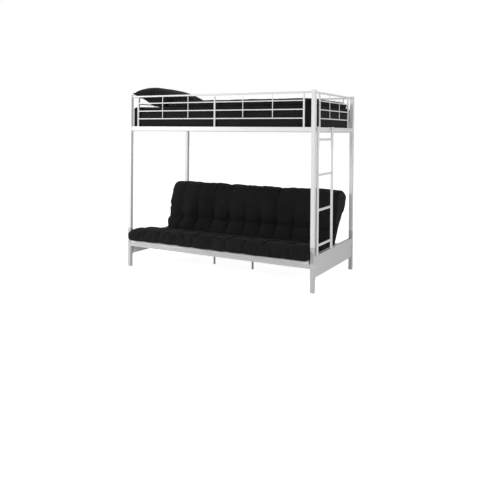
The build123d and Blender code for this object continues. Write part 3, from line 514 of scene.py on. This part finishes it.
def futon_depth(outer):
    """The rows' places along the section, the fold's, and how deep its outer face is pulled in."""
    seat_y, seat_z = zip(*FUTON_SEAT_TOP)
    row_points = [(y, float(np.interp(y, seat_y, seat_z))) for y in SEAT_ROWS]
    row_points += [back_point(along, BACK_ROW_OUT) for along in BACK_ROWS]
    row_runs = [nearest_run(outer, point) for point in row_points]
    seat_front, seat_back, back_row = row_runs
    fold = nearest_run(outer, FOLD)
    nose = nearest_run(outer, (-0.555, 0.309))
    top = nearest_run(outer, back_point(0.543, 0.076))

    # How deep the creases are that cross the bed, at each row, and those that run up it
    marks, mark_depths = zip(
        (nose, 0.0), (seat_front, 0.005), (seat_back, 0.002), (fold, 0.004), (back_row, 0.042),
        (top, 0.0),
    )
    crease_runs, crease_depths = zip(
        (nose, 0.006), (seat_front, 0.01), (seat_back, 0.004), (fold - 0.05, 0.002),
        (fold, 0.008), (fold + 0.05, 0.038), (back_row, 0.036), (back_row + 0.1, 0.044),
        (back_row + 0.2, 0.022), (back_row + 0.28, 0.008), (top, 0.0),
    )
    column_gain = [
        CREASE_USUAL + CREASE_SPREAD * noise.noise(Vector((7.3 * x, 1.0, 2.0))) for x in TUFT_X
    ]

    def depth(x, s):
        """How far the face is pulled in at a place along the bed and along the section."""
        wander = CREASE_WANDER * noise.noise(Vector((4.0 * x, 9.0 * s, 4.0)))
        nearest = min(range(len(TUFT_X)), key=lambda k: abs(x + wander - TUFT_X[k]))
        off = abs(x + wander - TUFT_X[nearest])
        crease = 1 - abs(sin(pi * min(off / TUFT_PITCH, 0.5))) ** CREASE_POWER
        pull = float(np.interp(s, crease_runs, crease_depths)) * column_gain[nearest] * crease
        index = int(np.searchsorted(marks, s))
        if 0 < index < len(marks):
            low, high = marks[index - 1], marks[index]
            t = (s - low) / max(high - low, 1e-6)
            if high == top:
                t = min(0.5, (s - low) / LAST_ROW_FADE)
            ridge = 1 - abs(sin(pi * t)) ** CREASE_POWER
            gain = mark_depths[index - 1 if t < 0.5 else index]
            pull += gain * ridge * (ROW_BETWEEN + (1 - ROW_BETWEEN) * crease)
        for row in row_runs:
            distance = sqrt(off * off + (s - row) ** 2)
            tuft_pull = TUFT_PULL_BACK if row > fold else TUFT_PULL_SEAT
            pull += tuft_pull * np.exp(-(distance / TUFT_SPREAD) ** 2)
        return float(DEEPEST_PULL * (1 - np.exp(-pull / DEEPEST_PULL)))

    return row_runs, fold, depth


def make_futon():
    """The futon mattress as one closed mesh, tufted on its outer face, and its tufts' places."""
    outer = smooth_path(FUTON_OUTER, FUTON_STEP)
    inner = smooth_path(FUTON_INNER, FUTON_STEP)
    section = np.vstack([outer, inner[1:-1]])
    count, outer_count = len(section), len(outer)
    tangent = np.roll(section, -1, axis=0) - np.roll(section, 1, axis=0)
    tangent /= np.linalg.norm(tangent, axis=1, keepdims=True)
    # The section runs up the front and over the top, so this normal points outwards
    normal = np.stack([-tangent[:, 1], tangent[:, 0]], axis=1)
    run = path_run(outer)
    row_runs, fold_run, depth = futon_depth(outer)

    station_count = int(2 * FUTON_HALF_LENGTH / FUTON_STEP) + 1
    stations = np.linspace(-FUTON_HALF_LENGTH, FUTON_HALF_LENGTH, station_count)
    vertices = []
    for x in stations:
        past = max(0.0, abs(x) - (FUTON_HALF_LENGTH - FUTON_END)) / FUTON_END
        inset = FUTON_END * (1 - sqrt(max(0.0, 1 - min(past, 1.0) ** 2)))
        for j in range(count):
            y, z = section[j]
            if j >= outer_count and abs(x) > OVERHANG_X:
                along, out = back_place(y, z)
                if OVERHANG_ALONG[0] < along < OVERHANG_ALONG[1] and out > OVERHANG_OUT_MIN:
                    y, z = back_point(along, min(out, float(np.interp(along, *zip(*END_REAR)))))
            pull = inset
            if j < outer_count:
                pull += depth(x, run[j]) * (1 - FUTON_END_FADE * past)
                broad = noise.noise(Vector((x * BROAD_SCALE, y * BROAD_SCALE, z * BROAD_SCALE)))
                fine = noise.noise(Vector((x * FINE_SCALE, y * FINE_SCALE, z * FINE_SCALE + 7.0)))
                pull -= BROAD_LUMP * broad + FINE_LUMP * fine
            y -= normal[j][0] * pull
            z -= normal[j][1] * pull
            vertices.append(at(x, y, z))
    faces = []
    for i in range(len(stations) - 1):
        for j in range(count):
            k = (j + 1) % count
            faces.append((i * count + j, i * count + k, (i + 1) * count + k, (i + 1) * count + j))
    faces.append(tuple(range(count - 1, -1, -1)))
    last = (len(stations) - 1) * count
    faces.append(tuple(last + j for j in range(count)))
    obj = add_mesh("futon_mattress", vertices, faces)
    bm = bmesh.new()
    bm.from_mesh(obj.data)
    bmesh.ops.recalc_face_normals(bm, faces=bm.faces)
    bmesh.ops.triangulate(bm, faces=[f for f in bm.faces if len(f.verts) > 4])
    bm.to_mesh(obj.data)
    bm.free()

    tufts = []
    for row in row_runs:
        j = int(np.argmin(np.abs(run - row)))
        for x in TUFT_X:
            pull = depth(x, run[j])
            y = section[j][0] - normal[j][0] * pull
            z = section[j][1] - normal[j][1] * pull
            tufts.append((at(x, y, z), Vector((0.0, normal[j][0], normal[j][1])), row > fold_run))
    return obj, tufts


FUTON_VOXEL, FUTON_VOXEL_QUICK = 0.0095, 0.012
# The tufts and the fold are held this far round
PIN_RADIUS = 0.013
# What lies on the deck, and on the back's frame, stays on it
SEAT_REST_Z, SEAT_REST_Y = DECK_TOP + 0.012, CENTRE.y + 0.12
BACK_REST_ALONG, BACK_REST_OUT = 0.51, 0.026
# How far the ends may swell
FUTON_END_SWELL = 0.0015

futon, tufts = make_futon()
remesh(futon, FUTON_VOXEL)
co = coordinates(futon)
fold_off = np.hypot(co[:, 1] - CENTRE.y - FOLD[0], co[:, 2] - FOLD[1])
seat_rest = (co[:, 2] < SEAT_REST_Z) & (co[:, 1] < SEAT_REST_Y)
along, out = back_place(co[:, 1] - CENTRE.y, co[:, 2])
back_rest = (along > 0.0) & (along < BACK_REST_ALONG) & (out < BACK_REST_OUT)
held = seat_rest | back_rest | (fold_off < PIN_RADIUS)
for point, _, _ in tufts:
    held |= np.linalg.norm(co - np.array(tuple(point)), axis=1) < PIN_RADIUS
inflate(futon, held, pressure=3.0, slack=0.05, reach=0.022)
co = coordinates(futon)
end_reach = FUTON_HALF_LENGTH + FUTON_END_SWELL
co[:, 0] = np.clip(co[:, 0], CENTRE.x - end_reach, CENTRE.x + end_reach)
set_coordinates(futon, co)
subdivide(futon)
futon.data.materials.append(futon_cloth)
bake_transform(futon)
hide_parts("seat_cushion", "back_cushion")


TUFT_RADIUS, TUFT_FLATNESS, TUFT_RISE, TUFT_FUZZ = 0.0075, 0.45, 0.001, 0.0012


def make_tufts(name, places, body):
    """Small cloth tufts, each a rosette pressed into its dimple."""
    bm = bmesh.new()
    flat = Matrix.Diagonal((1.0, 1.0, TUFT_FLATNESS, 1.0))
    for point, normal, _ in places:
        turn = normal.to_track_quat("Z", "Y").to_matrix().to_4x4()
        place = Matrix.Translation(point + normal * TUFT_RISE) @ turn @ flat
        made = bmesh.ops.create_icosphere(bm, subdivisions=2, radius=TUFT_RADIUS, matrix=place)
        for vertex in made["verts"]:
            ripple = noise.noise(vertex.co * 400.0)
            vertex.co += normal * ripple * TUFT_FUZZ
    obj = add_bmesh(name, bm)
    obj.data.materials.append(futon_cloth)
    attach(obj, body)


make_tufts("seat_tufts", [t for t in tufts if not t[2]], "seat")
make_tufts("back_tufts", [t for t in tufts if t[2]], "back")


# Bedding on the upper bunk

def clamped(value, limit):
    """The value, kept between minus and plus the limit."""
    return max(-limit, min(limit, value))


def rounded_slab(name, low, high, corner, edge, step):
    """A closed slab with rounded plan corners and rounded edges, in even quads."""
    half = [(h - l) / 2 for l, h in zip(low, high)]
    middle = Vector([(h + l) / 2 for l, h in zip(low, high)])
    bm = bmesh.new()
    counts = [max(2, int(round(2 * h / step))) for h in half]

    def face_grid(axis, side):
        """One of the slab's six faces, as a grid of quads."""
        a, b = [k for k in range(3) if k != axis]
        index = {}
        for i in range(counts[a] + 1):
            for j in range(counts[b] + 1):
                p = [0.0, 0.0, 0.0]
                p[axis] = side * half[axis]
                p[a] = -half[a] + 2 * half[a] * i / counts[a]
                p[b] = -half[b] + 2 * half[b] * j / counts[b]
                index[i, j] = bm.verts.new(p)
        for i in range(counts[a]):
            for j in range(counts[b]):
                bm.faces.new((index[i, j], index[i + 1, j], index[i + 1, j + 1], index[i, j + 1]))

    for axis in range(3):
        for side in (-1, 1):
            face_grid(axis, side)
    bmesh.ops.remove_doubles(bm, verts=bm.verts, dist=1e-5)
    bmesh.ops.recalc_face_normals(bm, faces=bm.faces)
    inner_wall = corner - edge
    for v in bm.verts:
        x, y, z = v.co
        # The plan's corners
        ix, iy = clamped(x, half[0] - corner), clamped(y, half[1] - corner)
        dx, dy = x - ix, y - iy
        reach = sqrt(dx * dx + dy * dy)
        wall = max(abs(dx), abs(dy))
        if reach > 1e-9:
            x = ix + dx / reach * wall
            y = iy + dy / reach * wall
        # The edges round its top and its foot
        iz = clamped(z, half[2] - edge)
        dz = z - iz
        over = wall - inner_wall
        if over > 0 and abs(dz) > 1e-9:
            length = sqrt(over * over + dz * dz)
            size = max(over, abs(dz))
            new_over, new_dz = over / length * size, dz / length * size
            share = (inner_wall + new_over) / wall
            x = ix + (x - ix) * share
            y = iy + (y - iy) * share
            z = iz + new_dz
        v.co = (x, y, z)
    bmesh.ops.translate(bm, verts=bm.verts, vec=middle)
    return add_bmesh(name, bm)


# How near the mattress's foot, ends and sides its held vertices lie
UNDERSIDE, END_PIN, SIDE_PIN = 0.012, 0.008, 0.022

mattress_low, mattress_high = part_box("upper_mattress")
mattress_middle = (mattress_low + mattress_high) / 2
mattress_half = (mattress_high - mattress_low) / 2
mattress = rounded_slab(
    "mattress_upper",
    mattress_low + Vector((-0.011, 0.001, 0.001)), mattress_high - Vector((-0.011, 0.001, 0.003)),
    corner=0.015, edge=0.0135, step=0.0125,
)
# The corners stay upright, and the underside flat
co = coordinates(mattress)
at_end = abs(co[:, 0] - mattress_middle.x) > mattress_half.x - END_PIN
at_side = abs(co[:, 1] - mattress_middle.y) > mattress_half.y - SIDE_PIN
underside = co[:, 2] < mattress_low.z + UNDERSIDE
held = underside | (at_end & at_side)
inflate(mattress, held, pressure=2.0, slack=0.01, reach=0.006, frames=14)
subdivide(mattress)
mattress.data.materials.append(mattress_cloth)
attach(mattress, "frame")
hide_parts("upper_mattress")


def rounded_outline(half_x, half_y, corner, per_corner=10):
    """Points round a rounded rectangle, counter-clockwise."""
    points = []
    for cx, cy, start in ((1, 1, 0), (-1, 1, 90), (-1, -1, 180), (1, -1, 270)):
        for k in range(per_corner + 1):
            angle = radians(start + 90 * k / per_corner)
            x = cx * (half_x - corner) + corner * cos(angle)
            y = cy * (half_y - corner) + corner * sin(angle)
            points.append((x, y))
    return points


def piping(name, middle, half_x, half_y, corner, radius, material, body):
    """A taped edge that runs round a slab at one height."""
    curve = bpy.data.curves.new(name, "CURVE")
    curve.dimensions = "3D"
    curve.bevel_depth = radius
    curve.bevel_resolution = 3
    outline = rounded_outline(half_x, half_y, corner)
    spline = curve.splines.new("POLY")
    spline.points.add(len(outline) - 1)
    for i, (x, y) in enumerate(outline):
        spline.points[i].co = (middle.x + x, middle.y + y, middle.z, 1.0)
    spline.use_cyclic_u = True
    line = add_object(name + "_line", curve)
    bpy.context.view_layer.update()
    mesh = evaluated_mesh(line)
    bpy.data.objects.remove(line)
    shade_smooth(mesh)
    mesh.materials.clear()
    mesh.materials.append(material)
    obj = add_object(name, mesh)
    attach(obj, body)


# The taped edges lie this far above the mattress's foot and below its top
TAPE_UP, TAPE_DOWN = 0.024, 0.026

tape_places = (("low", mattress_low.z + TAPE_UP), ("high", mattress_high.z - TAPE_DOWN))
for tape_name, tape_z in tape_places:
    piping(
        "mattress_tape_" + tape_name, Vector((mattress_middle.x, mattress_middle.y, tape_z)),
        half_x=mattress_half.x + 0.0115, half_y=mattress_half.y - 0.001, corner=0.015,
        radius=0.003, material=duvet_cloth, body="frame",
    )


# Duvet: a soft cover spread over the mattress, its edges rolled

# How high its broad and its fine ripples are
DUVET_BROAD, DUVET_FINE = 0.003, 0.0022
# How near its foot its held vertices lie
DUVET_UNDERSIDE = 0.008

duvet_low, duvet_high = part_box("duvet")
duvet = rounded_slab(
    "duvet_spread",
    duvet_low + Vector((0.008, 0.006, 0.002)), duvet_high - Vector((0.004, 0.006, 0.006)),
    corner=0.045, edge=0.018, step=0.014,
)
co = coordinates(duvet)
for i, (x, y, z) in enumerate(co):
    lift = max(0.0, (z - duvet_low.z) / (duvet_high.z - duvet_low.z))
    broad = noise.noise(Vector((x * 3.1, y * 3.1, 2.0)))
    fine = noise.noise(Vector((x * 11.0, y * 9.0, 5.0)))
    co[i, 2] += lift * (DUVET_BROAD * broad + DUVET_FINE * fine)
set_coordinates(duvet, co)
held = coordinates(duvet)[:, 2] < duvet_low.z + DUVET_UNDERSIDE
inflate(duvet, held, pressure=1.5, slack=0.02, reach=0.007, frames=14)
subdivide(duvet)
duvet.data.materials.append(duvet_cloth)
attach(duvet, "frame")
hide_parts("duvet")


# Pillow: two cloths sewn at their edge and filled, leaning over the head guard

# X, under Z and upper Z along its middle, from the tip over the guard to the tip on the duvet
PILLOW_SECTION = np.array((
    (-1.0185, 1.703, 1.713), (-0.992, 1.685, 1.74), (-0.968, 1.678, 1.749), (-0.95, 1.67, 1.755),
    (-0.9, 1.652, 1.764), (-0.85, 1.629, 1.765), (-0.812, 1.608, 1.761), (-0.774, 1.583, 1.751),
    (-0.74, 1.568, 1.739), (-0.7, 1.5635, 1.721), (-0.65, 1.5635, 1.695), (-0.61, 1.569, 1.668),
    (-0.585, 1.588, 1.63), (-0.575, 1.601, 1.611),
))
PILLOW_X, PILLOW_UNDER, PILLOW_UPPER = PILLOW_SECTION.T
PILLOW_HALF_Y, PILLOW_MIDDLE_Y = 0.392, -0.018
# The seam's height as a share of the pillow's, and how uneven the filling is
PILLOW_SEAM, PILLOW_LUMP = 0.03, 0.03
# Towards its front and its back end: how full it stays, and how far its corners are drawn in
PILLOW_FULLNESS, PILLOW_DRAW = (6, 7), (0.03, 0.07)
# How much flatter the back end is, and where along the pillow that begins
PILLOW_TILT, PILLOW_TILT_START = 0.15, 0.35


def make_pillow():
    """A filled pillow, its two faces meeting at a seam that runs low at both ends."""
    nx, ny = 44, 80
    vertices, faces, index = [], [], {}
    first, last = PILLOW_X[0], PILLOW_X[-1]
    middle = (first + last) / 2

    def place(i, j, side):
        """A point of the upper or the under face."""
        x = first + (last - first) * 0.5 * (1 - cos(pi * i / nx))
        low = np.interp(x, PILLOW_X, PILLOW_UNDER)
        high = np.interp(x, PILLOW_X, PILLOW_UPPER)
        seam = low + PILLOW_SEAM * (high - low)
        end = sin(pi * (-1 + 2 * j / ny) / 2)
        fullness, draw = [pair[0 if end < 0 else 1] for pair in (PILLOW_FULLNESS, PILLOW_DRAW)]
        fill = sqrt(max(0.0, 1 - abs(end) ** fullness))
        fill *= 1 - PILLOW_TILT * max(0.0, (end + PILLOW_TILT_START) / (1 + PILLOW_TILT_START))
        if side > 0:
            lump = noise.noise(Vector((x * 9.0, end * 3.0, 3.0 + side)))
            z = seam + (high - seam) * fill * (1 + PILLOW_LUMP * lump)
        else:
            z = seam + (low - seam) * fill
        x = middle + (x - middle) * (1 - draw * abs(end) ** 6)
        return at(x, PILLOW_MIDDLE_Y + PILLOW_HALF_Y * end, z)

    def vertex_key(i, j, side):
        """What a vertex is found by; the two faces share those on the rim."""
        return (i, j, 0 if i in (0, nx) or j in (0, ny) else side)

    for side in (-1, 1):
        for i in range(nx + 1):
            for j in range(ny + 1):
                key = vertex_key(i, j, side)
                if key not in index:
                    index[key] = len(vertices)
                    vertices.append(place(i, j, side))
        for i in range(nx):
            for j in range(ny):
                square = ((i, j), (i + 1, j), (i + 1, j + 1), (i, j + 1))
                corners = [index[vertex_key(a, b, side)] for a, b in square]
                faces.append(tuple(corners if side > 0 else reversed(corners)))
    return add_mesh("pillow_filled", vertices, faces)


pillow = make_pillow()
co = coordinates(pillow)
under = np.interp(co[:, 0] - CENTRE.x, PILLOW_X, PILLOW_UNDER)
held = co[:, 2] < under + UNDERSIDE
inflate(pillow, held, pressure=4.0, slack=0.06, reach=0.006, frames=18)
subdivide(pillow)
pillow.data.materials.append(pillow_cloth)
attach(pillow, "frame")
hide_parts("pillow")


# Steel details: button-head bolts with hex sockets, and weld beads

ALONG_Y, UPWARDS = Vector((0, 1, 0)), Vector((0, 0, 1))


def placed_on(centre, axis):
    """Takes points round the Z axis to ones round an axis through the centre."""
    return Matrix.Translation(centre) @ axis.to_track_quat("Z", "Y").to_matrix().to_4x4()


def add_head(bm, centre, axis, radius, height, socket, depth, sides=24):
    """A domed button head with a hex socket, made as rings round the axis."""
    place = placed_on(centre, axis)
    # Radius and height up the dome, as shares of the head's
    dome = ((1.0, 0.0), (1.0, 0.3), (0.93, 0.62), (0.78, 0.9), (0.62, 1.0))
    angles = [2 * pi * k / sides for k in range(sides)]
    rings = [[(radius * r, height * h)] * sides for r, h in dome]
    flats = [socket / cos((angle + pi / 6) % (pi / 3) - pi / 6) for angle in angles]
    rings += [[(r, h) for r in flats] for h in (height, height - depth)]
    rings = [
        [bm.verts.new(place @ Vector((r * cos(angle), r * sin(angle), h)))
         for angle, (r, h) in zip(angles, ring)]
        for ring in rings
    ]
    for low, high in zip(rings, rings[1:]):
        for k in range(sides):
            m = (k + 1) % sides
            bm.faces.new((low[k], low[m], high[m], high[k]))
    bm.faces.new(rings[-1])
    bm.faces.new(list(reversed(rings[0])))


# Y and Z of the bolts in the posts' outer faces, and X of those in the side rails
END_BOLTS = ((POST_Y, 1.664), (POST_Y, 1.354), (0.48, 0.2182))
RAIL_BOLT_X, RAIL_BOLT_Z, RAIL_HALF = 0.339, 1.356, 0.0125
bolt_bm = bmesh.new()
for side_x in (-1, 1):
    for side_y in (-1, 1):
        for y, z in END_BOLTS:
            add_head(
                bolt_bm, at(side_x * (POST_X + POST_HALF), side_y * y, z), Vector((side_x, 0, 0)),
                radius=0.008, height=0.004, socket=0.003, depth=0.0024,
            )
for x in (-RAIL_BOLT_X, RAIL_BOLT_X):
    for side_y in (-1, 1):
        add_head(
            bolt_bm, at(x, side_y * (POST_Y + RAIL_HALF), RAIL_BOLT_Z), Vector((0, side_y, 0)),
            radius=0.0065, height=0.003, socket=0.0024, depth=0.0018,
        )
bolts = add_bmesh("bolt_heads", bolt_bm, smooth=False)
bolts.data.materials.append(zinc)
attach(bolts, "frame")
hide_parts("frame_bolts")


def add_bead(bm, centre, axis, radius, bead, around=40, across=8):
    """A weld bead round a tube: a rippled ring."""
    place = placed_on(centre, axis)
    grid = []
    for i in range(around):
        angle = 2 * pi * i / around
        uneven = noise.noise(centre * 50.0 + Vector((angle, 0, 0)))
        size = bead * (1 + 0.14 * sin(9 * angle) + 0.08 * uneven)
        ring = []
        for j in range(across):
            turn = 2 * pi * j / across
            r = radius + size * cos(turn)
            point = Vector((r * cos(angle), r * sin(angle), size * sin(turn)))
            ring.append(bm.verts.new(place @ point))
        grid.append(ring)
    for i in range(around):
        for j in range(across):
            a, b = (i + 1) % around, (j + 1) % across
            bm.faces.new((grid[i][j], grid[a][j], grid[a][b], grid[i][b]))


RAIL_TOP, GUARD_TUBE_Z = 1.374, 1.664
SIDE_STILE_X, END_STILE_Y = 0.88, 0.355
STILE_RADIUS, STILE_BEAD = 0.0084, 0.0018
LADDER_X, LADDER_STILES, STILE_HALF = 0.9945, ((-0.44, 1), (-0.115, -1)), 0.0095
RUNG_COUNT, LOWEST_RUNG_Z, RUNG_PITCH = 4, 0.388, 0.294
RUNG_RADIUS, RUNG_BEAD = 0.0102, 0.002

bead_bm = bmesh.new()
for x in (-SIDE_STILE_X, 0.0, SIDE_STILE_X):
    for side_y in (-1, 1):
        foot = at(x, side_y * POST_Y, RAIL_TOP)
        add_bead(bead_bm, foot, UPWARDS, STILE_RADIUS, STILE_BEAD)
for y in (-END_STILE_Y, END_STILE_Y):
    for side_x in (-1, 1):
        foot = at(side_x * POST_X, y, RAIL_TOP)
        add_bead(bead_bm, foot, UPWARDS, STILE_RADIUS, STILE_BEAD)
for y in (-POST_Y + POST_HALF, POST_Y - POST_HALF):
    for side_x in (-1, 1):
        tube_end = at(side_x * POST_X, y, GUARD_TUBE_Z)
        add_bead(bead_bm, tube_end, ALONG_Y, STILE_RADIUS, STILE_BEAD)
for level in range(RUNG_COUNT):
    for y, toward in LADDER_STILES:
        rung_end = at(LADDER_X, y + toward * STILE_HALF, LOWEST_RUNG_Z + RUNG_PITCH * level)
        add_bead(bead_bm, rung_end, ALONG_Y, RUNG_RADIUS, RUNG_BEAD)
beads = add_bmesh("weld_beads", bead_bm)
beads.data.materials.append(weld_steel)
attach(beads, "frame")


# Floor, light and camera

FLOOR_COLOUR, FLOOR_GLOW = (0.9, 0.9, 0.9, 1.0), 0.84
WORLD_SHOWN, WORLD_LIGHT = 1.0, 0.3


def seen_ray(nodes, links):
    """1 for a ray from the camera or from a reflection, and 0 for one that lights."""
    path = nodes.new("ShaderNodeLightPath").outputs
    return math_node(nodes, links, "MAXIMUM", path["Is Camera Ray"], path["Is Glossy Ray"])


def mix_shaders(nodes, links, factor, first, second):
    """Blends two shaders."""
    mix = nodes.new("ShaderNodeMixShader")
    links.new(factor, mix.inputs["Fac"])
    links.new(first, mix.inputs[1])
    links.new(second, mix.inputs[2])
    return mix.outputs["Shader"]


def make_floor():
    """A white studio floor that keeps the object's shadow."""
    bm = bmesh.new()
    bmesh.ops.create_grid(bm, x_segments=1, y_segments=1, size=40.0)
    obj = add_bmesh("studio_floor", bm, smooth=False)
    obj.location = (0.0, 0.0, -0.0005)
    material, nodes, links, shader = blank_material("studio_white")
    set_inputs(shader, {"Base Color": FLOOR_COLOUR, "Roughness": 0.9, "Specular IOR Level": 0.1})
    glow = set_inputs(nodes.new("ShaderNodeEmission"), {"Strength": FLOOR_GLOW})
    dark = set_inputs(nodes.new("ShaderNodeEmission"), {"Strength": 0.0})
    shown = mix_shaders(
        nodes, links, seen_ray(nodes, links), dark.outputs["Emission"], glow.outputs["Emission"]
    )
    both = nodes.new("ShaderNodeAddShader")
    links.new(shader.outputs["BSDF"], both.inputs[0])
    links.new(shown, both.inputs[1])
    links.new(both.outputs["Shader"], nodes["Material Output"].inputs["Surface"])
    obj.data.materials.append(material)


def make_world():
    """White where the camera sees it, and a softer even light on the object."""
    world = bpy.data.worlds.new("studio")
    scene.world = world
    world.use_nodes = True
    nodes, links = world.node_tree.nodes, world.node_tree.links
    nodes.clear()
    lit, shown = [
        set_inputs(
            nodes.new("ShaderNodeBackground"), {"Color": (1.0, 1.0, 1.0, 1.0), "Strength": strength}
        ).outputs["Background"]
        for strength in (WORLD_LIGHT, WORLD_SHOWN)
    ]
    mixed = mix_shaders(nodes, links, seen_ray(nodes, links), lit, shown)
    links.new(mixed, nodes.new("ShaderNodeOutputWorld").inputs["Surface"])


def make_light(name, place, aim, size, energy):
    """A soft square lamp aimed at a point."""
    lamp = bpy.data.lights.new(name, "AREA")
    lamp.shape = "SQUARE"
    lamp.size = size
    lamp.energy = energy
    obj = add_object(name, lamp)
    obj.location = place
    obj.rotation_mode = "QUATERNION"
    obj.rotation_quaternion = (Vector(aim) - Vector(place)).to_track_quat("-Z", "Y")


make_floor()
make_world()
make_light("key_light", (-3.5, -3.9, 2.3), aim=(0.1, 0.0, 0.7), size=1.4, energy=175.0)
make_light("fill_light", (4.6, -2.6, 2.2), aim=(0.0, 0.0, 0.8), size=2.4, energy=84.0)

# The camera as solved from the photo: its focal length and principal point are in pixels
PHOTO_SIZE, FOCAL_LENGTH, PRINCIPAL_X, PRINCIPAL_Y = 480, 571.95, 262.12, 137.12
SENSOR_WIDTH = 36.0
camera_data = bpy.data.cameras.new("photo_camera")
camera_data.sensor_width = SENSOR_WIDTH
camera_data.lens = FOCAL_LENGTH / PHOTO_SIZE * SENSOR_WIDTH
camera_data.shift_x = (PHOTO_SIZE / 2 - PRINCIPAL_X) / PHOTO_SIZE
camera_data.shift_y = (PRINCIPAL_Y - PHOTO_SIZE / 2) / PHOTO_SIZE
camera_data.clip_end = 100.0
camera = add_object("photo_camera", camera_data)
forward = Vector((-0.467855, 0.883759, -0.009063)).normalized()
right = Vector((0.883728, 0.467925, 0.00845)).normalized()
up = right.cross(forward).normalized()
turn = Matrix((right, up, -forward)).transposed().to_4x4()
camera.matrix_world = Matrix.Translation(at(2.80231, -4.84617, 1.33029)) @ turn
scene.camera = camera
scene.view_settings.view_transform = "Standard"
